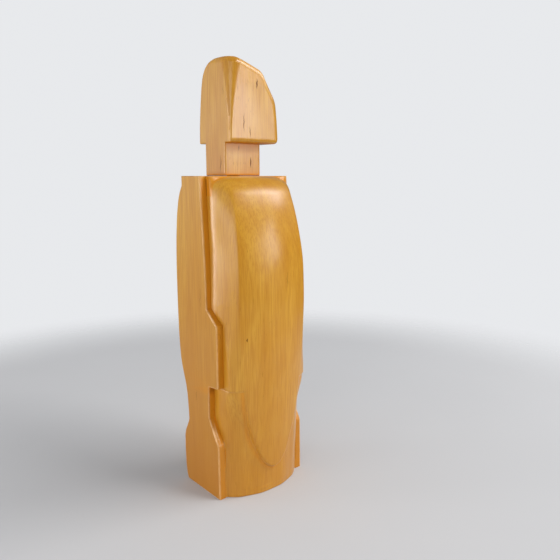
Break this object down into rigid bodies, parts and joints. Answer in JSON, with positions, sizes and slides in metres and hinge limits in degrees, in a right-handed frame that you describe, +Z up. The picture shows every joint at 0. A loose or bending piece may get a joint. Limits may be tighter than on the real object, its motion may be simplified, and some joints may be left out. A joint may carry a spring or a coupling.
{
  "type": "fertility doll",
  "caption": "Standing abstract figure in carved, varnished wood, with slab-like arm-and-leg panels beside a rounded belly and a plain block head that turns on its neck.",
  "frame": {"origin": "middle of the bounding box, on the flat face that the figure stands on", "axes": "+Z up; -Y is the front of the figure, the side of the belly and the hands; +X is the figure's left"},
  "size_m": [0.0654, 0.06, 0.26],
  "materials": {
    "body_wood": "honey varnish, gloss",
    "panel_wood": "honey varnish, gloss",
    "head_wood": "honey varnish, satin gloss",
    "dowel_wood": "bare turned wood"
  },
  "bodies": {
    "figure": {"torso": "body_wood", "right_arm_and_leg": "panel_wood", "left_arm_and_leg": "panel_wood"},
    "turning_head": {"head": "head_wood", "neck_dowel": "dowel_wood"}
  },
  "joints": [
    {"name": "head_turn", "type": "hinge", "parent": "figure", "child": "turning_head", "pos_m": [0, 0.01265, 0.192], "axis": [0, 0, 1], "continuous": true}
  ]
}
